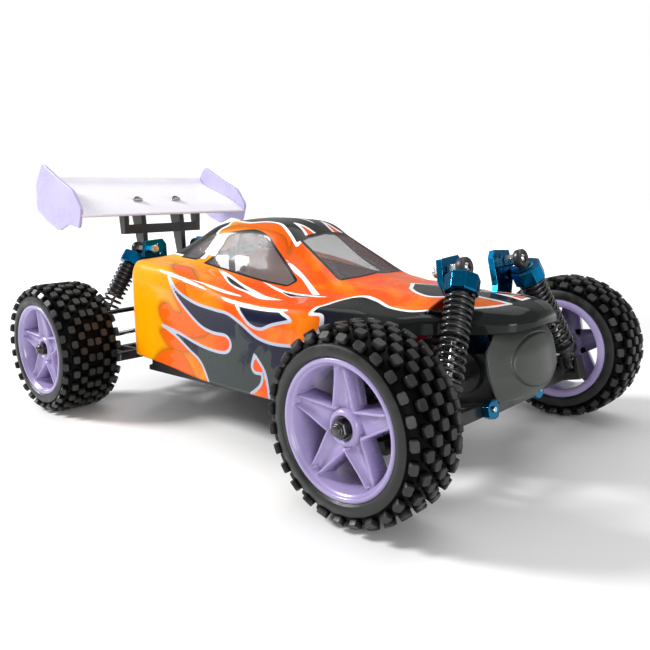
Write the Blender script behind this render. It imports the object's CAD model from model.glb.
"""The buggy's looks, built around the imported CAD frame. Lengths in this script are in millimetres, measured
from the middle between the axles, until place() or a matrix takes them to the frame's metres."""
import math

import bmesh
import bpy
import numpy as np
from mathutils import Matrix, Vector


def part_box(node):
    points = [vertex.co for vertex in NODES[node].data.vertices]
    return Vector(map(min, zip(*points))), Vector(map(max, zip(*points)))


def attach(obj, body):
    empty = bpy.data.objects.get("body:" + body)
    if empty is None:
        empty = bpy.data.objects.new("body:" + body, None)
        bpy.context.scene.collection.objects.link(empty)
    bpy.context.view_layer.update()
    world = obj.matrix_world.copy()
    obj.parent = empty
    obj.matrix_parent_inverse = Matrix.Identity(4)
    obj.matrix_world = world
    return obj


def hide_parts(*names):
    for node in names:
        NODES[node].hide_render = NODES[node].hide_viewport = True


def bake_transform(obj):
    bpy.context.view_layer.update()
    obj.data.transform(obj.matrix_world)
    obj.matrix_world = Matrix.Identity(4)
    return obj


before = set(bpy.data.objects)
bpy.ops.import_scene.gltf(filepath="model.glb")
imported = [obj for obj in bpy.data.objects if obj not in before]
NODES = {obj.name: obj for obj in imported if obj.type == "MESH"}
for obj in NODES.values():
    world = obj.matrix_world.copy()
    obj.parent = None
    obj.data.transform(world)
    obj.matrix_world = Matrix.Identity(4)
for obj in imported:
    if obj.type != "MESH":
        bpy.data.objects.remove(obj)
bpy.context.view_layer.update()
MM = 0.001


# ---------- where things are ----------

def middle(node):
    low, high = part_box(node)
    return (low + high) / 2 / MM


FRONT, REAR = "front", "rear"
FRONT_TYRE = middle("front_left_tyre")
REAR_TYRE = middle("rear_left_tyre")
SHIFT = (FRONT_TYRE.x + REAR_TYRE.x) / 2
AXLE_X = (FRONT_TYRE.x - REAR_TYRE.x) / 2
AXLE_Z = FRONT_TYRE.z
TYRE_R = AXLE_Z
KICK = math.radians(12)
LIP_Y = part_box("front_left_rim")[1].y / MM - 0.5
SIDES = {"left": 1, "right": -1}
CORNERS = [(end + "_" + word, end, way) for end in (FRONT, REAR) for word, way in SIDES.items()]

# In a corner's own frame: the shock's eyes, the tower's faces, the lower arm's pin and the upper link's.
SHOCK_TOP = {FRONT: (18, 28, 58), REAR: (9.6, 27, 63)}
SHOCK_FOOT = {FRONT: (18, 66, -6), REAR: (9.6, 72, -3)}
TOWER_X = {FRONT: (5.8, 9.2), REAR: (-9.2, -5.8)}
INNER_PIN = (24, -13)
LINK_PIN = (28, 19)
CAR = Matrix.Scale(MM, 4) @ Matrix.Translation((SHIFT, 0, 0))


def corner_matrix(end, side, level=False):
    """From a corner's own frame, with x away from the car's middle and y outward, to the frame."""
    if end == FRONT:
        turn = Matrix.Rotation(0 if level else -KICK, 4, "Y")
        return CAR @ Matrix.Translation((AXLE_X, 0, AXLE_Z)) @ turn @ Matrix.Diagonal((1, side, 1, 1))
    return CAR @ Matrix.Translation((-AXLE_X, 0, AXLE_Z)) @ Matrix.Diagonal((-1, side, 1, 1))


def shock_matrix(end, side):
    """From a shock's own frame, with z from its upper eye to its foot, to the frame."""
    top, foot = Vector(SHOCK_TOP[end]), Vector(SHOCK_FOOT[end])
    along = (foot - top).normalized()
    across = Vector((1, 0, 0))
    turn = Matrix((across, along.cross(across), along)).transposed().to_4x4()
    return corner_matrix(end, side) @ Matrix.Translation(top) @ turn


def shock_length(end):
    return (Vector(SHOCK_FOOT[end]) - Vector(SHOCK_TOP[end])).length


# ---------- meshes ----------

def in_scene(name, data):
    made = bpy.data.objects.new(name, data)
    bpy.context.scene.collection.objects.link(made)
    return made


def mesh_piece(name, points, faces, matrix, material, body=None, smooth=True, stands_for=(), slot=None):
    """A mesh from points in a frame of its own, taken to the frame by the matrix, riding on a body."""
    mesh = bpy.data.meshes.new(name)
    mesh.from_pydata([tuple(p) for p in points], [], [tuple(int(i) for i in f) for f in faces])
    mesh.transform(matrix)
    if matrix.determinant() < 0:
        mesh.flip_normals()
    mesh.validate()
    mesh.polygons.foreach_set("use_smooth", [smooth] * len(mesh.polygons))
    mesh.materials.append(material)
    piece = in_scene(name, mesh)
    if body:
        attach(piece, body)
    if stands_for:
        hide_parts(*stands_for)
    return piece


def merged(*shapes):
    """Several (points, faces) shapes as one."""
    points, faces, start = [], [], 0
    for some_points, some_faces in shapes:
        points.extend(some_points)
        faces.extend(tuple(i + start for i in f) for f in some_faces)
        start += len(some_points)
    return points, faces


def moved(shape, matrix):
    points, faces = shape
    if matrix.determinant() < 0:
        faces = [tuple(reversed(f)) for f in faces]
    return [matrix @ Vector(p) for p in points], faces


def grid_faces(rows, columns, close_rows=False, close_columns=False):
    """Quads between a grid's points, which are listed row by row."""
    faces = []
    for i in range(rows if close_rows else rows - 1):
        for j in range(columns if close_columns else columns - 1):
            k, m = (i + 1) % rows, (j + 1) % columns
            faces.append((i * columns + j, k * columns + j, k * columns + m, i * columns + m))
    return faces


def turned(outline, steps=96, closed=False):
    """A solid of revolution about y. The outline is a list of (radius, y)."""
    points = []
    for i in range(steps):
        angle = 2 * math.pi * i / steps
        points.extend((r * math.cos(angle), y, -r * math.sin(angle)) for r, y in outline)
    return points, grid_faces(steps, len(outline), True, closed)


def ring(centre, across, over, radius, sides):
    angles = [2 * math.pi * k / sides for k in range(sides)]
    return [centre + radius * (math.cos(a) * across + math.sin(a) * over) for a in angles]


def capped(rings, sides):
    """The faces of a bar with closed ends, whose points are listed ring by ring."""
    faces = [tuple(reversed(f)) for f in grid_faces(rings, sides, False, True)]
    return faces + [tuple(reversed(range(sides))), tuple(range((rings - 1) * sides, rings * sides))]


def rod(start, end, radius, sides, bevel):
    """A round bar between two points, or one with flats where sides is small, with bevelled ends."""
    start, end = Vector(start), Vector(end)
    along = (end - start).normalized()
    across = along.orthogonal().normalized()
    over = along.cross(across)
    inset = along * bevel
    rings = [(start, radius - bevel), (start + inset, radius), (end - inset, radius), (end, radius - bevel)]
    points = []
    for centre, r in rings:
        points.extend(ring(centre, across, over, r, sides))
    return points, capped(len(rings), sides)


def swept(route, radius, sides):
    """A round wire along a route."""
    route = [Vector(p) for p in route]
    count = len(route)
    ahead = [(route[min(i + 1, count - 1)] - route[max(i - 1, 0)]).normalized() for i in range(count)]
    across = ahead[0].orthogonal().normalized()
    points = []
    for i, centre in enumerate(route):
        across = (across - across.dot(ahead[i]) * ahead[i]).normalized()
        points.extend(ring(centre, across, ahead[i].cross(across), radius, sides))
    return points, capped(count, sides)


def slab(outline, low, high, lying=False):
    """A plate with that outline, standing in x and z, or lying in x and y."""
    count = len(outline)

    def at(p, level):
        return (p[0], p[1], level) if lying else (p[0], level, p[1])
    points = [at(p, low) for p in outline] + [at(p, high) for p in outline]
    faces = [(i, (i + 1) % count, count + (i + 1) % count, count + i) for i in range(count)]
    return points, faces + [tuple(reversed(range(count))), tuple(range(count, 2 * count))]


def curve_points(a, b, c, d, steps):
    """Points from b towards c on the Catmull-Rom curve through the four."""
    return [0.5 * (2 * b + (c - a) * s + (2 * a - 5 * b + 4 * c - d) * s ** 2
                   + (3 * b - a - 3 * c + d) * s ** 3) for s in np.arange(steps) / steps]


def spline(points, steps, closed=False):
    """A Catmull-Rom curve through the points. A point given twice makes a sharp corner."""
    points = [np.array(p, float) for p in points]
    count = len(points)
    made = []
    for i in range(count if closed else count - 1):
        around = range(i - 1, i + 3)
        a, b, c, d = (points[k % count] if closed else points[min(max(k, 0), count - 1)] for k in around)
        if not np.allclose(b, c):
            made.extend(curve_points(a, b, c, d, steps))
    if not closed:
        made.append(points[-1])
    return np.array(made)


def facing_out(piece):
    """Makes a closed mesh's faces all point outward."""
    b = bmesh.new()
    b.from_mesh(piece.data)
    bmesh.ops.recalc_face_normals(b, faces=b.faces)
    b.to_mesh(piece.data)
    b.free()
    return piece


def bevelled(piece, width):
    """Rounds a piece's sharp edges by a width in millimetres."""
    weld = piece.modifiers.new("weld", "WELD")
    weld.merge_threshold = 0.01 * MM
    bevel = piece.modifiers.new("bevel", "BEVEL")
    bevel.width = width * MM
    bevel.segments = 2
    bevel.limit_method = "ANGLE"
    bevel.angle_limit = math.radians(35)
    bevel.harden_normals = True


def thickened(piece, thickness, offset):
    """Gives a sheet its thickness, inward at offset -1, to both sides at 0 and outward at 1."""
    solid = piece.modifiers.new("thickness", "SOLIDIFY")
    solid.thickness = thickness * MM
    solid.offset = offset


# ---------- materials ----------

def feed(tree, node, inputs):
    """Gives a node its inputs, which are constants or other nodes' outputs."""
    for key, value in inputs.items():
        if isinstance(value, bpy.types.NodeSocket):
            tree.links.new(value, node.inputs[key])
        else:
            node.inputs[key].default_value = value


def add(tree, kind, inputs=None, **settings):
    made = tree.nodes.new("ShaderNode" + kind)
    for key, value in settings.items():
        setattr(made, key, value)
    feed(tree, made, inputs or {})
    return made


def mixed(tree, share, a, b):
    colours = [c if isinstance(c, bpy.types.NodeSocket) else (*c, 1) for c in (a, b)]
    return add(tree, "Mix", {0: share, 6: colours[0], 7: colours[1]}, data_type="RGBA").outputs[2]


def between(tree, value, low, high, at_low=0.0, at_high=1.0):
    """A value taken from one range to another, clamped."""
    return add(tree, "MapRange", {"Value": value, "From Min": low, "From Max": high, "To Min": at_low,
                                  "To Max": at_high}).outputs["Result"]


def maths(tree, operation, a, b=0.0):
    return add(tree, "Math", {0: a, 1: b}, operation=operation).outputs[0]


def noise(tree, scale, detail=3.0, stretch=None, distortion=0.0):
    """Noise in the piece's own space. Scale is in bumps per metre."""
    coords = add(tree, "TexCoord").outputs["Object"]
    if stretch:
        coords = add(tree, "Mapping", {"Vector": coords, "Scale": stretch}).outputs["Vector"]
    return add(tree, "TexNoise", {"Vector": coords, "Scale": scale, "Detail": detail, "Roughness": 0.55,
                                  "Distortion": distortion}).outputs["Fac"]


def edge_mask(tree, radius):
    """1 along the piece's edges, fading to 0 on its faces."""
    directions = {0: rounded_normal(tree, radius), 1: add(tree, "NewGeometry").outputs["Normal"]}
    same = add(tree, "VectorMath", directions, operation="DOT_PRODUCT").outputs["Value"]
    return between(tree, same, 0.995, 0.86)


def new_material(name):
    material = bpy.data.materials.new(name)
    material.use_nodes = True
    return material, material.node_tree, material.node_tree.nodes["Principled BSDF"]


def rounded_normal(tree, radius):
    """The surface's direction with its edges rounded by a radius in millimetres."""
    return add(tree, "Bevel", {"Radius": radius * MM}, samples=4).outputs["Normal"]


def surface(name, colour, shade, rough, rough_spread=0.08, patch=55, grain=1500, depth=0.05, edge=None,
            edge_radius=0.35, stretch=None, **sockets):
    """A material whose colour drifts to a shade in patches, with uneven gloss, fine grain and worn edges."""
    material, tree, shader = new_material(name)
    patches = between(tree, noise(tree, patch, 4.0), 0.38, 0.64)
    fine = noise(tree, grain, stretch=stretch)
    paint = mixed(tree, patches, colour, shade)
    uneven = add(tree, "Mix", {0: 0.45, 2: patches, 3: fine}, data_type="FLOAT").outputs[0]
    gloss = between(tree, uneven, 0.25, 0.75, rough - rough_spread, rough + rough_spread)
    if edge:
        wear = between(tree, noise(tree, 260.0), 0.35, 0.6, 0.25, 1.0)
        paint = mixed(tree, maths(tree, "MULTIPLY", edge_mask(tree, edge_radius), wear), paint, edge)
    rounded = {"Normal": rounded_normal(tree, edge_radius)} if edge else {}
    bump = add(tree, "Bump", {"Height": fine, "Strength": 0.6, "Distance": depth * MM, **rounded})
    feed(tree, shader, {"Base Color": paint, "Roughness": gloss, "Normal": bump.outputs["Normal"]})
    feed(tree, shader, {key.replace("_", " "): value for key, value in sockets.items()})
    return material


def paint_of(shader):
    return shader.inputs["Base Color"].links[0].from_socket


BLACK = surface("black_plastic", (0.012, 0.012, 0.013), (0.02, 0.02, 0.021), 0.38, 0.1, grain=2400,
                depth=0.03, edge=(0.05, 0.05, 0.05))
BUMPER_GREY = surface("bumper_plastic", (0.04, 0.045, 0.04), (0.052, 0.058, 0.052), 0.36, 0.06, grain=2600,
                      depth=0.06, patch=30)
BLUE = surface("blue_aluminium", (0.0, 0.15, 0.32), (0.0, 0.11, 0.245), 0.24, 0.07, edge=(0.08, 0.38, 0.58),
               grain=1800, depth=0.012, Metallic=1.0)
STEEL = surface("steel", (0.62, 0.61, 0.58), (0.5, 0.48, 0.45), 0.24, 0.09, grain=1400, depth=0.01,
                edge=(0.8, 0.8, 0.78), edge_radius=0.2, Metallic=1.0)
DARK_STEEL = surface("dark_steel", (0.06, 0.06, 0.062), (0.1, 0.1, 0.1), 0.3, edge=(0.3, 0.3, 0.3),
                     depth=0.01, edge_radius=0.2, Metallic=1.0)
BRASS = surface("brass", (0.72, 0.46, 0.16), (0.6, 0.36, 0.12), 0.25, edge=(0.85, 0.65, 0.32),
                edge_radius=0.2, Metallic=1.0)
COPPER = surface("copper_wire", (0.6, 0.24, 0.1), (0.42, 0.16, 0.07), 0.28, grain=2000, depth=0.01,
                 Metallic=1.0)
WHITE = surface("white_plastic", (0.84, 0.82, 0.88), (0.79, 0.77, 0.85), 0.32, 0.06, grain=1600, depth=0.03,
                patch=25, Subsurface_Weight=0.1, Subsurface_Radius=(0.003, 0.003, 0.003))
LAVENDER_THIN = surface("lavender_plate", (0.46, 0.42, 0.68), (0.52, 0.48, 0.74), 0.3, 0.05, grain=1600,
                        depth=0.03, patch=25, Transmission_Weight=0.12, IOR=1.35)
LAVENDER = surface("lavender_plastic", (0.29, 0.235, 0.44), (0.33, 0.275, 0.49), 0.27, 0.07, grain=1700,
                   depth=0.03, patch=40, edge=(0.6, 0.5, 0.76), Coat_Weight=0.35, Coat_Roughness=0.12)
RUBBER = surface("tyre_rubber", (0.008, 0.009, 0.008), (0.015, 0.017, 0.015), 0.44, 0.1, grain=1300,
                 depth=0.08, patch=120, edge=(0.022, 0.024, 0.022))
SPRING_BLACK = surface("spring_paint", (0.006, 0.006, 0.007), (0.01, 0.01, 0.011), 0.16, 0.06,
                       depth=0.01, Coat_Weight=0.3, Coat_Roughness=0.06)
WRAP = surface("battery_wrap", (0.42, 0.008, 0.012), (0.34, 0.006, 0.01), 0.3, grain=700, depth=0.08,
               edge=(0.6, 0.1, 0.1))
MOTOR_CAN = surface("motor_can", (0.42, 0.43, 0.45), (0.33, 0.34, 0.36), 0.3, grain=900, depth=0.01,
                    stretch=(0.08, 1, 1), edge=(0.7, 0.7, 0.7), Metallic=1.0)
SERVO_CASE = surface("servo_case", (0.014, 0.014, 0.016), (0.022, 0.022, 0.025), 0.34,
                     edge=(0.06, 0.06, 0.065))


def darken_tread_gaps():
    """Makes the rubber black and dull where the open_air value stored on a tyre's points is 0."""
    tree = RUBBER.node_tree
    shader = tree.nodes["Principled BSDF"]
    open_air = add(tree, "Attribute", attribute_name="open_air").outputs["Fac"]
    feed(tree, shader, {"Base Color": mixed(tree, open_air, (0.0006, 0.0006, 0.0006), paint_of(shader)),
                        "Specular IOR Level": between(tree, open_air, 0.0, 1.0, 0.05, 0.4)})


def holder_finish():
    """Blue, but black in the middle of the front hinge-pin holder, where the bumper's foot lies on it."""
    material = BLUE.copy()
    material.name = "holder_aluminium"
    tree = material.node_tree
    shader = tree.nodes["Principled BSDF"]
    where = add(tree, "SeparateXYZ", {0: add(tree, "TexCoord").outputs["Object"]}).outputs
    in_middle = between(tree, maths(tree, "ABSOLUTE", where["Y"]), 18.8 * MM, 19.2 * MM, 1.0, 0.0)
    blacked = maths(tree, "MULTIPLY", in_middle, between(tree, where["X"], 155 * MM, 156 * MM))
    feed(tree, shader, {"Base Color": mixed(tree, blacked, paint_of(shader), (0.012, 0.012, 0.013)),
                        "Metallic": maths(tree, "SUBTRACT", 1.0, blacked)})
    return material


darken_tread_gaps()
HOLDER = holder_finish()
# What the CAD nodes are made of, by name, or for a corner's nodes by the rest of the name.
FINISHES = [
    (BLACK, "chassis_plate gearboxes wing_mount body_posts servo_saver idler_arm"),
    (BLACK, "lower_arm hub_carrier knuckle shock_rod"),
    (BLUE, "shock_towers motor_mount"), (HOLDER, "arm_holders"),
    (STEEL, "centre_drive centre_link drive_shaft"), (DARK_STEEL, "upper_link tie_rod"),
    (MOTOR_CAN, "motor"), (BRASS, "motor_pinion"), (WRAP, "battery_pack"),
    (SERVO_CASE, "steering_servo radio_gear")]


def finish_cad_nodes():
    finish = {part: material for material, parts in FINISHES for part in parts.split()}
    for name, node in NODES.items():
        part = name.split("_", 2)[-1] if name.startswith((FRONT, REAR)) else name
        if part in finish:
            node.data.materials.clear()
            node.data.materials.append(finish[part])


# ---------- body shell ----------

# Stations along the shell: x, y and z of the sill, shoulder, cabin foot and roof edge, and the ridge's z.
STATIONS = np.array([
    [-96, 38, 84, 40, 96, 36, 99, 20, 101, 102],
    [-91, 58, 62, 58, 98, 38, 101, 24, 104, 105],
    [-87, 69, 44, 68, 101, 40, 103.5, 27, 107, 108.5],
    [-81, 74.5, 41.5, 73, 103, 42, 104.5, 28, 110.5, 112],
    [-62, 75.5, 40, 74, 101.5, 43, 102.5, 29.5, 119, 121],
    [-45, 75.5, 38.5, 74, 100, 42.5, 101, 29, 125.5, 127.5],
    [-15, 75.5, 35, 74, 94, 42, 96.5, 27, 126.5, 128.5],
    [10, 75, 33.5, 73.5, 87, 42, 93, 26, 124, 126.5],
    [26, 74.5, 33, 73, 84.5, 42, 91, 24, 116.5, 118.5],
    [45, 74, 32.5, 72, 83.5, 41, 89, 28, 105, 107],
    [63, 74, 32.5, 70, 84, 40, 87, 31, 94, 96.5],
    [76, 73, 33, 67, 83.5, 40, 86, 28, 91.5, 93],
    [86, 64, 44, 60, 82, 38, 85, 26, 90, 91.5],
    [95, 54, 61, 53, 80.5, 37, 84, 25, 88.5, 90.5],
    [106, 51, 68, 50, 79.5, 36, 83.5, 24, 88, 90],
    [118, 48, 70, 47, 79, 34, 83.5, 22, 87.5, 89.5],
    [128, 41, 71, 41, 79.5, 32, 83.5, 20, 87.5, 89],
    [147, 32, 72, 32, 79, 26, 84, 17, 87, 88.5],
    [160, 26, 73, 26, 78, 21, 83, 14, 86, 87.5],
    [168, 20, 74, 20, 78, 16, 81.5, 11, 84, 85],
    [172.5, 10, 75.5, 10, 78, 8, 80, 5, 81.5, 82]])
SHELL_STEP = 1.5
HALF_COUNT = 104


def rounded_corner(before, at, after, keep, steps=9):
    a, b = at + keep * (before - at), at + keep * (after - at)
    s = np.linspace(0, 1, steps)[:, None]
    return (1 - s) * ((1 - s) * a + s * at) + s * ((1 - s) * at + s * b)


def half_section(row):
    """Half a section's (y, z) points from sill to ridge, their lengths along it, and the shoulder's."""
    sill, shoulder, foot, roof = (row[i:i + 2] for i in (1, 3, 5, 7))
    ridge = np.array([0, row[9]])
    corner = rounded_corner(sill, shoulder, foot, 0.24)
    points = np.vstack([[sill], corner, rounded_corner(shoulder, foot, roof, 0.3),
                        rounded_corner(foot, roof, ridge, 0.35), [ridge]])
    lengths = np.concatenate([[0], np.cumsum(np.linalg.norm(np.diff(points, axis=0), axis=1))])
    return points, lengths, lengths[1 + len(corner) // 2]


def shell_rows():
    rows = []
    for i in range(len(STATIONS) - 1):
        a, b, c, d = (STATIONS[min(max(i + k, 0), len(STATIONS) - 1)] for k in (-1, 0, 1, 2))
        steps = max(2, math.ceil((c[0] - b[0]) / SHELL_STEP))
        rows.extend(curve_points(a, b, c, d, steps))
    return np.array(rows + [STATIONS[-1]])


SHELL_ROWS = shell_rows()


def row_at(x):
    return np.array([np.interp(x, SHELL_ROWS[:, 0], SHELL_ROWS[:, k]) for k in range(10)])


# The paint is laid out on a chart of (x, w), with w the length along a section inward from its shoulder.
def side(x, z):
    points, lengths, shoulder = half_section(row_at(x))
    upto = lengths <= shoulder + 0.01
    return x, np.interp(z, points[upto, 1], lengths[upto], left=z - points[0, 1], right=shoulder) - shoulder


def top(x, y):
    points, lengths, shoulder = half_section(row_at(x))
    beyond = lengths >= shoulder - 0.01
    return x, np.interp(-y, -points[beyond, 0], lengths[beyond], right=lengths[-1] + max(0, -y)) - shoulder


def cabin(x, z):
    points, lengths, shoulder = half_section(row_at(x))
    beyond = lengths >= shoulder - 0.01
    return x, np.interp(z, np.maximum.accumulate(points[beyond, 1]), lengths[beyond]) - shoulder


def distance(points, outline):
    """Signed distance of chart points to a closed outline, negative inside it."""
    a, b = outline, np.roll(outline, -1, axis=0)
    best = np.full(len(points), 1e9)
    inside = np.zeros(len(points), bool)
    for p, q in zip(a, b):
        edge, rel = q - p, points - p
        share = np.clip(rel @ edge / max(edge @ edge, 1e-9), 0, 1)
        best = np.minimum(best, np.linalg.norm(rel - share[:, None] * edge, axis=1))
        crosses = (p[1] > points[:, 1]) != (q[1] > points[:, 1])
        x_at = p[0] + (points[:, 1] - p[1]) * edge[0] / (edge[1] if abs(edge[1]) > 1e-9 else 1e-9)
        inside ^= crosses & (points[:, 0] < x_at)
    return np.where(inside, -best, best)


def layer(points, outlines):
    """Signed distance to the nearest of several curved outlines, up to a distance that no paint needs."""
    best = np.full(len(points), 40.0)
    for outline in outlines:
        best = np.minimum(best, distance(points, spline(outline, 7, closed=True)))
    return best


def twice(point):
    return [point, point]


FLAME = [
    *twice(side(-41, 95)), side(-30, 86.5), side(-13, 80.5), side(4, 78), side(16, 76.5), side(27, 72),
    side(41, 65), side(59, 63), side(80, 64), *twice(side(100, 64)), *twice((100, -70)), *twice((2, -62)),
    side(-8, 44), side(-21, 52), side(-33, 58.5), *twice(side(-48, 64)), side(-30, 60.5), side(-10, 55.5),
    side(8, 53.4), side(16, 54.8), side(18.5, 59.5), side(14.5, 64), side(2, 64.8), side(-8, 67.5),
    side(-19, 74), side(-32, 84)]
SHOULDER_PATCH = [
    *twice(side(22, 83.5)), side(28, 77), side(35, 72), side(43, 70.6), side(51, 73.5),
    *twice(side(64, 76.4)), *twice(side(62, 78)), side(57, 80), *twice(side(56, 82.4)), side(40, 83)]
NOSE_SIDE = [
    *twice(side(75, 83.4)), side(80.5, 80), side(81, 73), side(77, 67.5), side(68, 63.5),
    *twice(side(66, 58)), *twice((100, -75)), *twice((190, -75)), *twice((190, 60)), *twice((166, 60)),
    *twice(top(160, 13.4)), top(150, 23), top(128, 33.5), top(116, 38.5), top(104, 38), top(94, 34.5),
    top(86, 34), top(80, 38), top(77, 46), top(77, 58)]
HOOD_PATCH = [
    *twice(top(98, 10)), top(106, 16.5), top(115, 20), *twice(top(128, 17)), *twice(top(133, 9)),
    *twice(top(133, -4)), *twice(top(93, -4)), *twice(top(92, 0))]
HOOD_NOSE = [
    *twice(top(133, -4)), *twice(top(133, 7)), top(142, 10.5), top(150, 12), *twice(top(160, 13)),
    *twice(top(173, 8)), *twice(top(173, -4))]
ROOF_PATCH = [
    *twice(top(-36, 20)), top(-20, 23), top(-6, 20), top(6, 20), top(16, 23), *twice(top(26, 26)),
    *twice(top(27, 6)), *twice(top(27, -4)), *twice(top(-22, -4)), top(-30, 8)]
REAR_CABIN = [
    *twice(cabin(-44, 104)), cabin(-42, 120), *twice(top(-36, 27)), top(-40, 18), *twice(top(-46, -4)),
    *twice(top(-97, -4)), *twice(top(-97, 30)), top(-84, 40), top(-66, 42)]
DARK = [FLAME, SHOULDER_PATCH, NOSE_SIDE, HOOD_PATCH, HOOD_NOSE, ROOF_PATCH, REAR_CABIN]

TEARDROP = [
    *twice(side(38, 56)), side(35.5, 49), side(38, 45.5), side(43.5, 45), side(42, 39), *twice(side(34, 33)),
    *twice((34, -60)), *twice((51, -60)), *twice(side(49, 36)), side(46, 47)]
ROOF_FLAME = [*twice(top(10, 12)), top(17, 9.5), *twice(top(28, 8)), *twice(top(28, 18)), top(19, 14)]
CUT = [TEARDROP, ROOF_FLAME]

DECK_STROKES = [
    [*twice(top(-24.4, 47.2)), top(-10.9, 48.7), top(6.4, 53.6), top(21.5, 56.6), top(34.6, 59.8),
     *twice(top(50.4, 60.3)), top(35.4, 64.7), top(19.1, 61.7), top(8.9, 61), top(-2.2, 58), top(-13.1, 52.5)],
    [*twice(top(8.8, 46.2)), top(20.6, 46.2), top(38.4, 48.6), top(49.5, 48), *twice(top(68.8, 43.3)),
     top(57.1, 50.6), *twice(top(49.3, 55.1)), top(40.1, 52.2), top(30.1, 49.6), top(18.8, 46.8)],
    [*twice(cabin(22.3, 105.1)), cabin(33.5, 100), cabin(44, 94.5), *twice(top(61, 43.5)),
     *twice(top(57, 45.5)), cabin(42, 93.6), cabin(32, 98.4)]]
PILLAR = [
    *twice(cabin(-38, 118.5)), *twice(cabin(-34, 119.3)), *twice(cabin(-43.6, 104.2)),
    *twice(cabin(-48, 104.6))]
SHOULDER_LINE = [
    *twice(top(-24, 71)), top(-4, 70), top(12, 68.5), *twice(top(27, 66)), top(14, 66.4), top(0, 68)]
DECK_INK = [
    [*twice(top(-14.4, 49.7)), top(-2, 53.5), top(11.4, 57), *twice(top(22.6, 59.6)), top(11.8, 59.4),
     top(2.2, 58.2), top(-5.9, 54.6)],
    [*twice(top(26.3, 47.8)), top(37.6, 50), top(49.6, 50.2), *twice(top(63.8, 47.1)), top(54.8, 51.6),
     *twice(top(48, 54)), top(37.4, 50.8)]]

EMBERS = [
    [*twice(side(-26, 97)), side(-24, 88), side(-18, 78), side(-6, 72), side(0, 66), side(-10, 61),
     side(-28, 60), side(-44, 65), side(-50, 74), side(-42, 78), side(-34, 73), side(-26, 74), side(-34, 86)],
    [*twice(side(-60, 38)), side(-50, 46), side(-38, 49), side(-26, 46), *twice((-8, -66))],
    [*twice(side(-50, 60)), side(-42, 52), side(-30, 50), side(-18, 51), *twice(side(-6, 44)), side(-20, 56),
     side(-36, 61)],
    [*twice(top(-50, 62)), top(-36, 60), top(-24, 66), *twice(top(-12, 71)), top(-30, 72)],
    [*twice(top(-40, 30)), cabin(-20, 124), cabin(0, 122), cabin(16, 118), *twice(cabin(24, 108)),
     cabin(16, 122), top(4, 21), top(-16, 24)]]

WINDSCREEN = [*twice(top(26.5, 21.5)), top(38, 23.4), top(50, 25.4), *twice(top(62, 27.5)), top(64, 14),
              *twice(top(64.5, -4)), *twice(top(25.5, -4))]
SIDE_WINDOW = [
    *twice(cabin(-30, 119)), cabin(-10, 120.6), cabin(4, 117), cabin(15, 109), *twice(cabin(36.9, 93.2)),
    *twice(cabin(34.5, 91)), cabin(5.8, 94.5), *twice(cabin(-38.7, 101.4))]
QUARTER_WINDOW = [
    *twice(cabin(-47, 116.5)), *twice(cabin(-42, 117.5)), *twice(cabin(-50, 103.5)), *twice(cabin(-66, 104.5)),
    cabin(-62, 110.5)]
GLASS = [WINDSCREEN, SIDE_WINDOW, QUARTER_WINDOW]


def shell_grid():
    """Rings of points from the left sill over the ridge to the right, and each point's place on the chart."""
    points, chart = [], []
    for row in SHELL_ROWS:
        section, lengths, shoulder = half_section(row)
        along = np.linspace(0, lengths[-1], HALF_COUNT)
        y = np.interp(along, lengths, section[:, 0])
        z = np.interp(along, lengths, section[:, 1])
        half = np.column_stack([np.full(HALF_COUNT, row[0]), y, z])
        other = half[::-1][1:] * [1, -1, 1]
        points.append(np.vstack([half, other]))
        w = along - shoulder
        chart.append(np.column_stack([np.full(2 * HALF_COUNT - 1, row[0]), np.concatenate([w, w[::-1][1:]])]))
    return np.vstack(points), np.vstack(chart)


def cut_hole(points, faces, inside, snap):
    """Pulls nearby points onto a hole's rim, then leaves out the faces inside it."""
    points = snap(points)
    middles = np.array([points[list(f)].mean(0) for f in faces])
    return points, [f for f, gone in zip(faces, inside(middles)) if not gone]


# The holes for the body posts, by x and y, and the slots for the front shock towers' ears, by their edges.
POST_HOLES = [(122, 0), (-88, 16), (-88, -16)]
POST_HOLE_R = 3.0
SLOT_X = (126, 141)
SLOT_Y = (12, 37)
ABOVE_SILLS = 70
HOLE_SNAP = 0.8
SLOT_SNAP = 0.76
SLOT_REACH = (1, 0.8)


def post_hole(x, y):
    def snap(points):
        out = points.copy()
        rel = points[:, :2] - [x, y]
        r = np.linalg.norm(rel, axis=1)
        near = (np.abs(r - POST_HOLE_R) < HOLE_SNAP) & (points[:, 2] > ABOVE_SILLS)
        out[near, :2] = [x, y] + rel[near] / r[near, None] * POST_HOLE_R
        return out

    def inside(points):
        return (np.hypot(points[:, 0] - x, points[:, 1] - y) < POST_HOLE_R) & (points[:, 2] > ABOVE_SILLS)
    return inside, snap


def tower_slot(side_way):
    def within(points, more_x, more_y):
        x, y = points[:, 0], points[:, 1] * side_way
        return ((x > SLOT_X[0] - more_x) & (x < SLOT_X[1] + more_x)
                & (y > SLOT_Y[0] - more_y) & (y < SLOT_Y[1] + more_y))

    def snap(points):
        out = points.copy()
        for axis, line in [(0, x) for x in SLOT_X] + [(1, y * side_way) for y in SLOT_Y]:
            near = within(points, *SLOT_REACH) & (np.abs(points[:, axis] - line) < SLOT_SNAP)
            out[near, axis] = line
        return out

    def inside(points):
        return within(points, 0, 0)
    return inside, snap


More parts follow.
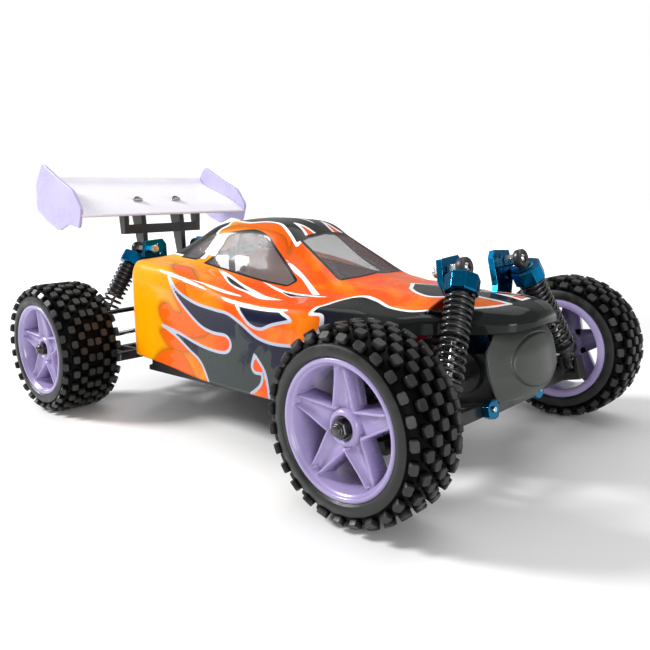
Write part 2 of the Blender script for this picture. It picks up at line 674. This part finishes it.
def shell_paint():
    """Paint under clear plastic: crisp shapes from the distances stored on the shell's points."""
    material, tree, shader = new_material("body_paint")

    def stored(name):
        return add(tree, "Attribute", attribute_name=name).outputs["Fac"]

    def inside(value, line=0.0, soft=0.12):
        return between(tree, value, line - soft, line + soft, 1.0, 0.0)

    clouded = maths(tree, "ADD", stored("warm"), maths(tree, "MULTIPLY", noise(tree, 22.0), 0.3))
    warm = between(tree, clouded, 0.1, 1.15)
    base = mixed(tree, warm, (0.93, 0.34, 0.0), (0.8, 0.075, 0.0))
    bright = between(tree, noise(tree, 40.0, distortion=0.6), 0.52, 0.68, 0.0, 0.3)
    base = mixed(tree, bright, base, (0.96, 0.42, 0.0))
    ember = stored("ember")
    shadow = maths(tree, "MULTIPLY", between(tree, ember, 0.0, 4.2, 1.0, 0.0), 0.85)
    base = mixed(tree, shadow, base, (0.26, 0.07, 0.0))
    base = mixed(tree, inside(ember, soft=0.25), base, (0.84, 0.1, 0.0))
    ink = stored("ink")
    edge_tone = mixed(tree, stored("deck"), (0.4, 0.44, 0.54), (0.9, 0.9, 0.92))
    base = mixed(tree, inside(ink, 1.05), base, edge_tone)
    height = add(tree, "SeparateXYZ", {0: add(tree, "TexCoord").outputs["Object"]}).outputs["Z"]
    drift = maths(tree, "MULTIPLY", maths(tree, "SUBTRACT", height, 0.058), 9.0)
    smoke = between(tree, maths(tree, "ADD", noise(tree, 46.0, 5.0, distortion=0.8), drift), 0.47, 0.53)
    blued = maths(tree, "MULTIPLY", smoke, stored("navy"))
    night = mixed(tree, blued, (0.008, 0.0095, 0.0095), (0.003, 0.0035, 0.022))
    sheen = between(tree, stored("navy"), 0.0, 1.0, 0.0, 0.6)
    greyed = maths(tree, "MULTIPLY", maths(tree, "SUBTRACT", 1.0, smoke), sheen)
    night = mixed(tree, greyed, night, (0.045, 0.06, 0.058))
    base = mixed(tree, inside(ink, -0.7), base, night)
    base = mixed(tree, inside(stored("stroke")), base, (0.88, 0.88, 0.9))
    base = mixed(tree, inside(stored("stroke_ink")), base, (0.02, 0.022, 0.024))
    glass = stored("glass")
    base = mixed(tree, inside(glass, 1.7), base, (0.007, 0.007, 0.008))
    clear = inside(glass, 0.0, 0.15)
    base = mixed(tree, clear, base, (0.2, 0.19, 0.2))
    ripple = add(tree, "Bump", {"Height": noise(tree, 70.0, 2.0), "Strength": 0.25, "Distance": 0.12 * MM})
    feed(tree, shader, {
        "Base Color": base, "Alpha": between(tree, clear, 0.0, 1.0, 1.0, 0.32),
        "Roughness": between(tree, noise(tree, 300.0), 0.3, 0.7, 0.24, 0.36),
        "Normal": ripple.outputs["Normal"], "Coat Normal": ripple.outputs["Normal"],
        "Coat Weight": between(tree, clear, 0.0, 1.0, 0.42, 0.15), "Coat Roughness": 0.035, "Coat IOR": 1.45,
        "Specular IOR Level": 0.08})
    return material


def build_shell():
    points, chart = shell_grid()
    faces = [tuple(reversed(f)) for f in grid_faces(len(SHELL_ROWS), 2 * HALF_COUNT - 1)]
    last = len(points) - (2 * HALF_COUNT - 1)
    faces.append(tuple(range(last, len(points))))
    for inside, snap in [post_hole(*place) for place in POST_HOLES] + [tower_slot(1), tower_slot(-1)]:
        points, faces = cut_hole(points, faces, inside, snap)
    shell = mesh_piece("shell", points, faces, CAR, shell_paint(), "chassis", stands_for=["body_shell"],
                       slot="body_paint")
    flank = chart[:, 1] < 2
    ink = np.maximum(layer(chart, DARK), -layer(chart, CUT))
    stored = {
        "ink": ink,
        "glass": layer(chart, GLASS),
        "ember": layer(chart, EMBERS),
        "stroke": layer(chart, DECK_STROKES + [SHOULDER_LINE, PILLAR]),
        "stroke_ink": layer(chart, DECK_INK),
        "deck": np.clip((chart[:, 1] + 6) / 8, 0, 1),
        "navy": np.where(flank, np.clip((95 - chart[:, 0]) / 20, 0, 1), 0.0),
        "warm": np.clip((chart[:, 0] + 60) / 75, 0, 1)}
    for name, values in stored.items():
        shell.data.attributes.new(name, "FLOAT", "POINT").data.foreach_set("value", values.astype(np.float32))
    thickened(shell, 1.1, -1)


# ---------- wheels ----------

RIM_LIP_R = 30.8
KNOB_HEIGHT = 2.9
KNOBS_AROUND = 27
# Rows of knobs: distance from the crown's middle, length, width, height and share of a knob's pitch turned.
TREAD = {
    FRONT: [(0.0, 4.9, 4.2, KNOB_HEIGHT, 0.0), (4.9, 4.7, 4.0, KNOB_HEIGHT, 0.5),
            (9.7, 4.9, 4.0, KNOB_HEIGHT, 0.0), (14.9, 4.9, 3.8, 2.7, 0.5)],
    REAR: [(2.7, 4.9, 4.2, KNOB_HEIGHT, 0.0), (7.8, 4.7, 4.2, KNOB_HEIGHT, 0.5),
           (12.8, 4.9, 4.0, KNOB_HEIGHT, 0.0), (18.4, 4.9, 3.9, 2.7, 0.5)]}


def tyre_section(half_width):
    """Half a tyre's outline from its crown's middle to its bead, as (radius, distance from the middle)."""
    crown = TYRE_R - KNOB_HEIGHT
    return spline([
        *twice((crown + 0.1, 0)), (crown, half_width - 10), (crown - 0.5, half_width - 6),
        (crown - 2.2, half_width - 2.6), (crown - 4.6, half_width - 0.7), (crown - 7, half_width),
        (crown - 9, half_width - 0.1),
        *twice((RIM_LIP_R + 0.5, half_width - 0.8)), *twice((28.6, half_width - 3.6))], 8)


def knob(length, width, height):
    """A rounded block standing on z = 0, as (points, faces), with a bevelled top."""
    levels = [(1.1, -0.5), (1.03, 0.2), (0.98, height - 0.45), (0.93, height)]
    points = []
    for scale, z in levels:
        for k in range(16):
            a = 2 * math.pi * (k + 0.5) / 16
            x, y = math.cos(a), math.sin(a)
            square = 1 / (abs(x) ** 12 + abs(y) ** 12) ** (1 / 12)
            points.append((x * square * scale * length / 2, y * square * scale * width / 2, z))
    faces = grid_faces(len(levels), 16, False, True)
    faces = [tuple(reversed(f)) for f in faces]
    return points, faces + [tuple(range((len(levels) - 1) * 16, len(levels) * 16))]


def tyre_shape(half_width, rows):
    """The tyre, 0 for its points in the tread's gaps and 1 for others, and how many faces are smooth."""
    section = tyre_section(half_width)
    outline = np.vstack([section[::-1] * [1, -1], section[1:]])
    carcass = turned([tuple(p) for p in outline[::-1]], 144)
    lengths = np.concatenate([[0], np.cumsum(np.linalg.norm(np.diff(section, axis=0), axis=1))])
    shapes = [carcass]
    open_air = [float(math.hypot(p[0], p[2]) < TYRE_R - 7.6) for p in carcass[0]]
    for place, length, width, height, phase in rows:
        for way in (-1, 1) if place else (1,):
            r, y = (np.interp(place, lengths, section[:, k]) for k in (0, 1))
            r2, y2 = (np.interp(place + 0.5, lengths, section[:, k]) for k in (0, 1))
            lean = math.atan2(r - r2, y2 - y)
            shape = knob(length, width, height)
            for i in range(KNOBS_AROUND):
                turn = Matrix.Rotation(2 * math.pi * (i + phase) / KNOBS_AROUND, 4, "Y")
                to_tread = turn @ Matrix.Translation((0, way * y, r)) @ Matrix.Rotation(-way * lean, 4, "X")
                shapes.append(moved(shape, to_tread))
                open_air.extend(float(p[2] > 1) for p in shape[0])
    return merged(*shapes), open_air, len(carcass[1])


def spoke_shape(back):
    """One spoke along +x: a beam with two thin raised ribs and a channel between them."""
    points = []
    # Radius, half width and height of the face.
    stations = [
        (6.5, 6.3, -5.4), (9, 5.9, -4.6), (14, 5.0, -4.2), (19, 4.0, -3.8), (24, 3.2, -3.2), (27.6, 2.7, -2.4)]
    for r, half, face in stations:
        rib, floor, foot, edge = 1.0, face - 2.1, half + 1.6, face - 0.25
        flank = [(half - rib - 0.35, floor), (half - rib - 0.1, edge), (half - rib + 0.15, face),
                 (half - 0.15, face), (half + 0.1, edge), (half + 0.4, floor - 0.6), (foot, back)]
        section = [(-across, y) for across, y in reversed(flank)] + flank
        points.extend((r, y, across) for across, y in section)
    count = len(section)
    faces = grid_faces(len(stations), count, False, True)
    return points, faces + [tuple(reversed(range(count))), tuple(range(len(points) - count, len(points)))]


def rim_shape(width):
    """The rim from its outer lip inward, in the frame where the lip lies on y = 0 and +y is outward."""
    deep = -width + 1.5
    ring = [
        (RIM_LIP_R - 0.5, deep), (RIM_LIP_R, deep + 0.5), (RIM_LIP_R, deep + 2), (28.2, deep + 3),
        (28.2, -3.0), (RIM_LIP_R, -2.0), (RIM_LIP_R + 0.1, -1.2), (RIM_LIP_R, -0.4), (RIM_LIP_R - 0.5, 0.0),
        (29.5, 0.15), (28.9, 0.0), (28.5, -0.5), (28.3, -1.3), (27.7, -1.6), (27.3, -2.2), (27.1, -3.2),
        (26.5, -4.6), (26.1, -8), (25.8, -14), (25.9, deep + 2), (26.3, deep)]
    hub = [
        (6.0, -12.5), (8.4, -12.3), (8.5, -6.6), (8.2, -5.4), (7.4, -4.4), (6.4, -3.9), (5.7, -4.1),
        (5.3, -5.0), (5.2, -6.2), (2.6, -6.3), (2.6, -12.5)]
    shapes = [turned(ring, 128, closed=True), turned(hub, 64, closed=True)]
    for i in range(5):
        shapes.append(moved(spoke_shape(-12.0), Matrix.Rotation(math.radians(72 * i - 90), 4, "Y")))
    return merged(*shapes)


def nut_shape():
    """A flanged wheel nut."""
    return merged(
        rod((0, -6.1, 0), (0, -5.3, 0), 5.0, 32, 0.25),
        rod((0, -5.3, 0), (0, -1.4, 0), 4.3, 6, 0.45),
        rod((0, -1.4, 0), (0, -0.5, 0), 3.0, 32, 0.3))


def axle_tip_shape():
    """The axle's threaded end, as a stack of discs that are wide and narrow by turns."""
    discs = []
    for i in range(12):
        y = -2.0 + 0.22 * i
        discs.append(rod((0, y, 0), (0, y + 0.2, 0), 2.3 if i % 2 else 2.05, 24, 0.06))
    return merged(*discs)


def hex_hub_shape():
    """The drive hex and the axle stub behind the rim."""
    inner = -29.0
    return merged(
        rod((0, inner, 0), (0, -9.0, 0), 2.5, 24, 0.2),
        rod((0, -18.0, 0), (0, -12.3, 0), 6.8, 6, 0.5),
        rod((0, inner - 1.6, 0), (0, inner + 3.8, 0), 5.0, 32, 0.4))


def build_wheels():
    tyres, rims = {}, {}
    for name, end, side_way in CORNERS:
        low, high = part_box(name + "_tyre")
        half_width = (high.y - low.y) / 2 / MM
        middle_y = abs((high.y + low.y) / 2 / MM)
        width = 2 * half_width - 0.3
        body = name + "_wheel"
        to_car = corner_matrix(end, side_way, level=True)
        if end not in tyres:
            tyres[end] = tyre_shape(half_width, TREAD[end])
            rims[end] = rim_shape(width)
        shape, open_air, smooth_faces = tyres[end]
        at_middle = to_car @ Matrix.Translation((0, middle_y, 0))
        tyre = mesh_piece(name + "_knobbly_tyre", *shape, at_middle, RUBBER, body, stands_for=[name + "_tyre"],
                          slot="tyre_rubber").data
        tyre.attributes.new("open_air", "FLOAT", "POINT").data.foreach_set("value", open_air)
        tyre.polygons.foreach_set("use_smooth", [i < smooth_faces for i in range(len(tyre.polygons))])
        at_lip = to_car @ Matrix.Translation((0, LIP_Y, 0))
        rim = mesh_piece(name + "_spoked_rim", *rims[end], at_lip, LAVENDER, body, stands_for=[name + "_rim"],
                         slot="purple_plastic")
        facing_out(rim)
        mesh_piece(name + "_wheel_nut", *nut_shape(), at_lip, DARK_STEEL, body, smooth=False)
        mesh_piece(name + "_axle_thread", *axle_tip_shape(), at_lip, DARK_STEEL, body)
        mesh_piece(name + "_hex_hub", *hex_hub_shape(), at_lip, STEEL, body, smooth=False)


# ---------- shocks ----------

CAP_END = 14.4
SPRING_R = 6.4
SPRING_WIRE_R = 0.9
SPRING_TURNS = 13
BARREL_END = {FRONT: 36.0, REAR: 40.0}


def cap_shape():
    """The faceted aluminium cap, and the collar between it and the eye."""
    return merged(
        rod((0, 0, 5.2), (0, 0, CAP_END), 8.7, 8, 0.6),
        rod((0, 0, 4.9), (0, 0, 6.0), 4.6, 32, 0.3))


def eye_shape(z):
    """A ball end: a ring of plastic round the pivot, and the neck it grows from."""
    ring = [(2.7, -2.1), *twice((3.0, -2.3)), *twice((4.4, -2.3)), (4.9, -1.6), (5.0, 0), (4.9, 1.6),
            *twice((4.4, 2.3)), *twice((3.0, 2.3)), (2.7, 2.1)]
    to_x = Matrix.Rotation(math.radians(-90), 4, "Z")
    return moved(turned(ring, 40, closed=True), Matrix.Translation((0, 0, z)) @ to_x)


def ball_shape(z):
    ball = [(2.9 * math.sin(a), -2.9 * math.cos(a)) for a in np.linspace(0.35, math.pi - 0.35, 14)]
    to_x = Matrix.Rotation(math.radians(-90), 4, "Z")
    return moved(turned([(1.0, ball[0][1])] + ball + [(1.0, ball[-1][1])], 32, closed=True),
                 Matrix.Translation((0, 0, z)) @ to_x)


def barrel_shape(low):
    """The damper's body along y, bored for its rod, with fine ridges at the top."""
    bore, plain, ridge, high = 1.8, 4.9, 5.2, 13.9
    outline = [(bore, high), (plain, high)]
    for y in np.arange(15, 30, 1.1):
        outline.extend([(plain, y), (ridge, y + 0.2), (ridge, y + 0.5), (plain, y + 0.7)])
    outline.extend([(plain, low - 0.5), (plain - 0.5, low), (bore, low)])
    return turned(outline, 40, closed=True)


def coil_route(start, stop):
    """A spring's wire, with a tighter pitch near the top."""
    route = []
    count = SPRING_TURNS * 36
    for i in range(count + 1):
        s = i / count
        spaced = 0.8 * s + 0.2 * s ** 2
        a = 2 * math.pi * SPRING_TURNS * s
        route.append((SPRING_R * math.cos(a), SPRING_R * math.sin(a), start + (stop - start) * spaced))
    return route


def build_shocks():
    for name, end, side_way in CORNERS:
        to_car = shock_matrix(end, side_way)
        length = shock_length(end)
        body, lower = name + "_shock_body", name + "_shock_rod"
        perch = length - 14
        mesh_piece(name + "_shock_cap", *cap_shape(), to_car, BLUE, body, smooth=False,
                   stands_for=[name + "_shock_body"], slot="blue_aluminium")
        neck = rod((0, 0, 3.4), (0, 0, 5.4), 3.4, 24, 0.4)
        mesh_piece(name + "_shock_top_eye", *merged(eye_shape(0), neck), to_car, BLACK, body)
        mesh_piece(name + "_shock_top_ball", *ball_shape(0), to_car, STEEL, body)
        barrel = moved(barrel_shape(BARREL_END[end]), Matrix.Rotation(math.radians(90), 4, "X"))
        mesh_piece(name + "_shock_barrel", *barrel, to_car, BLACK, body)
        coil = swept(coil_route(CAP_END + 1.0, perch - 1.0), SPRING_WIRE_R, 10)
        spring = mesh_piece(name + "_coil_spring", *coil, to_car, SPRING_BLACK,
                            stands_for=[name + "_shock_spring"], slot="spring_steel")
        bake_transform(spring)
        shaft = rod((0, 0, 30), (0, 0, length - 6), 1.5, 24, 0.1)
        mesh_piece(name + "_shock_shaft", *shaft, to_car, STEEL, lower, stands_for=[name + "_shock_rod"],
                   slot="black_plastic")
        seat = merged(
            rod((0, 0, perch), (0, 0, perch + 1.8), 7.2, 48, 0.4),
            rod((0, 0, perch + 1.6), (0, 0, perch + 4.5), 4.8, 36, 0.5),
            rod((0, 0, perch + 4), (0, 0, length - 3.4), 3.2, 24, 0.4),
            eye_shape(length))
        mesh_piece(name + "_spring_perch", *seat, to_car, BLACK, lower)
        mesh_piece(name + "_shock_foot_ball", *ball_shape(length), to_car, STEEL, lower)


# ---------- bumper ----------

# Rows of the bumper from its lower edge to its top: x, z, half width, how far its edges sweep back.
BUMPER_ROWS = [(164, 38, 22, 3), (169, 41, 28, 7), (172, 49, 33, 10), (171.5, 57, 34, 11), (170, 65, 33, 11),
               (166, 71.5, 26, 8), (160, 76.5, 20, 6)]
OVAL_Z = 57.5
OVAL_HALF_H = 13.0
OVAL_HALF_W = 22.5
GROOVE_DEPTH = 1.5
GROOVE_WIDTH = 0.38
OVAL_RISE = 0.5


def build_bumper():
    rows = spline(BUMPER_ROWS, 22)
    steps = 190
    points = []
    for x, z, half, sweep in rows:
        for v in np.linspace(-1, 1, steps + 1):
            y = half * v
            size = math.hypot(y / OVAL_HALF_W, (z - OVAL_Z) / OVAL_HALF_H)
            off = (size - 1) * (OVAL_HALF_W + OVAL_HALF_H) / 2
            groove = GROOVE_DEPTH * math.exp(-(off / GROOVE_WIDTH) ** 2) - OVAL_RISE / (1 + math.exp(off * 5))
            points.append((x - sweep * v * v - groove, y, z))
    bumper = mesh_piece("bumper_shield", points, grid_faces(len(rows), steps + 1), CAR, BUMPER_GREY, "chassis",
                        stands_for=["front_bumper"], slot="grey_plastic")
    thickened(bumper, 2.6, 1)
    foot = slab([(14.4, -13), (27, -14), (30, -12), (30, 12), (27, 14), (14.4, 13)], -8.1, -5.4, lying=True)
    foot = mesh_piece("bumper_foot", *foot, corner_matrix(FRONT, 1), BUMPER_GREY, "chassis", smooth=False)
    bevelled(facing_out(foot), 0.6)


# ---------- wing ----------

# The blade's section and the end plates' outline, as (x, z).
WING_SECTION = [
    (-140, 133.5), (-149, 139), (-160, 144), (-172, 148.5), (-185, 153), (-196, 158.5), (-200, 163)]
END_PLATE = [(-143, 124), (-158, 127), (-174, 122), (-190, 129), (-206, 138), (-204, 158), (-191, 172),
             (-168, 160), (-148, 151), (-138, 138)]
END_PLATE_THICK = 2.2
WING_HALF_SPAN = 76
WING_SCREW = (-159, 17.6, 143.4)
DIP_DEPTH = 0.9


def build_wing():
    upper = spline(WING_SECTION, 8)
    count = len(upper)
    points = []
    screw_x, screw_y, screw_z = WING_SCREW
    across = np.linspace(-WING_HALF_SPAN + 1.2, WING_HALF_SPAN - 1.2, 61)
    for y in across:
        dip = DIP_DEPTH * math.exp(-((abs(y) - screw_y) / 5.0) ** 2)
        for x, z in upper:
            fade = math.exp(-((x - screw_x) / 6.0) ** 2)
            points.append((x, y, z - dip * fade - 1.0))
    wing = mesh_piece("wing_blade", points, grid_faces(len(across), count), CAR, WHITE, "chassis",
                      stands_for=["wing"], slot="white_plastic")
    thickened(wing, 1.9, 0)
    outline = []
    for i, p in enumerate(END_PLATE):
        before, after = END_PLATE[i - 1], END_PLATE[(i + 1) % len(END_PLATE)]
        outline.extend(rounded_corner(np.array(before), np.array(p), np.array(after), 0.16, 5))
    for word, side_way in SIDES.items():
        ys = sorted((side_way * (WING_HALF_SPAN - END_PLATE_THICK), side_way * WING_HALF_SPAN))
        plate = mesh_piece("wing_end_plate_" + word, *slab(outline, *ys), CAR, LAVENDER_THIN, "chassis",
                           smooth=False)
        bevelled(facing_out(plate), 0.5)
    for word, side_way in reversed(SIDES.items()):
        on_blade = Matrix.Translation((screw_x, side_way * screw_y, screw_z))
        tilt = on_blade @ Matrix.Rotation(math.radians(-23), 4, "Y")
        washer = moved(rod((0, 0, -1.2), (0, 0, 0.3), 4.4, 32, 0.3), tilt)
        head = moved(turned([(0.01, 2.6), (1.6, 2.5), (2.6, 1.9), (3.0, 0.9), (3.0, 0.2), (0.01, 0.2)], 32),
                     tilt @ Matrix.Rotation(math.radians(90), 4, "X"))
        mesh_piece("wing_washer_" + word, *washer, CAR, STEEL, "chassis", smooth=False)
        mesh_piece("wing_screw_" + word, *head, CAR, DARK_STEEL, "chassis")


# ---------- small parts ----------

def build_fasteners():
    """Hinge pins, shock standoffs, link screws and the idler's post, in bright steel."""
    shapes = []
    for name, end, side_way in CORNERS:
        x, y, z = SHOCK_TOP[end]
        near, far = TOWER_X[end]
        screw = (near - 1.5, far + 3.4) if end == REAR else (near - 9.2, far + 1)
        parts = merged(
            rod((-19, *INNER_PIN), (19, *INNER_PIN), 1.5, 24, 0.2),
            rod((far + 0.1, y, z), (x - 3.0, y, z), 3.1, 6, 0.4),
            rod((x - 3.2, y, z), (x - 2.2, y, z), 2.1, 24, 0.2),
            rod((near - 5.4, y, z), (near - 3.5, y, z), 2.9, 24, 0.5),
            rod((near - 3.7, y, z), (near, y, z), 3.2, 6, 0.3),
            rod((screw[0], *LINK_PIN), (screw[1], *LINK_PIN), 1.5, 24, 0.2))
        shapes.append(moved(parts, CAR.inverted() @ corner_matrix(end, side_way)))
    shapes.append(rod((108, 13, 31), (108, 13, 58), 3.0, 32, 0.4))
    mesh_piece("steel_fasteners", *merged(*shapes), CAR, STEEL, "chassis", smooth=False,
               stands_for=["fasteners"], slot="steel")


def build_body_clip():
    """A bent wire clip through the front body post, over the shell."""
    wave = [
        (112, -1.2, 92.6), (118, -1.2, 92.6), (122, -1.2, 92.7), (128, -1.3, 92.8), (131, 0, 92.9),
        (129, 2.6, 92.9), (125.5, 3.4, 92.9), (122, 2.4, 92.8), (118.5, 3.4, 92.8), (114, 2.6, 92.8),
        (110, 4.2, 93.4)]
    mesh_piece("body_clip", *swept(spline(wave, 8), 0.6, 8), CAR, COPPER, "chassis")


# ---------- stage, light and camera ----------

FLOOR_HALF = 6


def build_stage():
    """A pale floor that fades into the white backdrop."""
    floor_material, tree, shader = new_material("floor")
    tint = mixed(tree, between(tree, noise(tree, 2.0), 0.3, 0.7), (0.9, 0.9, 0.9), (0.93, 0.93, 0.925))
    place = add(tree, "TexCoord").outputs["Object"]
    away = add(tree, "VectorMath", {0: place}, operation="LENGTH").outputs["Value"]
    feed(tree, shader, {"Base Color": tint, "Roughness": 0.35, "Emission Color": (1, 1, 1, 1),
                        "Emission Strength": between(tree, away, 0.45, 1.3, 0.0, 0.95)})
    mesh = bpy.data.meshes.new("floor")
    corners = [(x * FLOOR_HALF, y * FLOOR_HALF, 0) for x, y in ((-1, -1), (1, -1), (1, 1), (-1, 1))]
    mesh.from_pydata(corners, [], [(0, 1, 2, 3)])
    mesh.materials.append(floor_material)
    in_scene("floor", mesh)


def area_light(name, place, target, size, power):
    light = bpy.data.lights.new(name, "AREA")
    light.shape = "DISK"
    light.size = size
    light.energy = power
    lamp = in_scene(name, light)
    lamp.location = place
    lamp.rotation_euler = (Vector(target) - Vector(place)).to_track_quat("-Z", "Y").to_euler()


def build_light():
    """Soft lights, and a backdrop that is white to the camera and dimmer as a light."""
    world = bpy.data.worlds.new("studio")
    world.use_nodes = True
    tree = world.node_tree
    backdrop = tree.nodes["Background"]
    seen = add(tree, "LightPath").outputs["Is Camera Ray"]
    feed(tree, backdrop, {"Color": (1, 1, 1, 1), "Strength": between(tree, seen, 0.0, 1.0, 0.4, 1.0)})
    bpy.context.scene.world = world
    bpy.context.scene.view_settings.view_transform = "Standard"
    area_light("key", (-1.2, -0.85, 1.15), (0, 0, 0.05), 0.5, 40)
    area_light("overhead", (0.1, 0.5, 1.7), (0, 0, 0), 1.6, 11)
    area_light("front_fill", (1.5, -0.9, 0.5), (0.05, 0, 0.06), 0.8, 13)


def build_camera():
    """The view from ahead and to the car's right, just above its roof."""
    turn, dip, roll = math.radians(43.56), math.radians(9.92), math.radians(-1.66)
    forward = Vector((-math.sin(turn) * math.cos(dip), math.cos(turn) * math.cos(dip), -math.sin(dip)))
    right = Vector((math.cos(turn), math.sin(turn), 0))
    up = right.cross(forward)
    across = right * math.cos(roll) + up * math.sin(roll)
    upward = up * math.cos(roll) - right * math.sin(roll)
    data = bpy.data.cameras.new("camera")
    data.lens = 38.43
    data.sensor_width = 36
    data.clip_start = 0.01
    camera = in_scene("camera", data)
    place = CAR @ Vector((324.21, -317.31, 136.57))
    camera.matrix_world = Matrix.Translation(place) @ Matrix((across, upward, -forward)).transposed().to_4x4()
    bpy.context.scene.camera = camera


finish_cad_nodes()
build_shell()
build_wheels()
build_shocks()
build_bumper()
build_wing()
build_fasteners()
build_body_clip()
build_stage()
build_light()
build_camera()
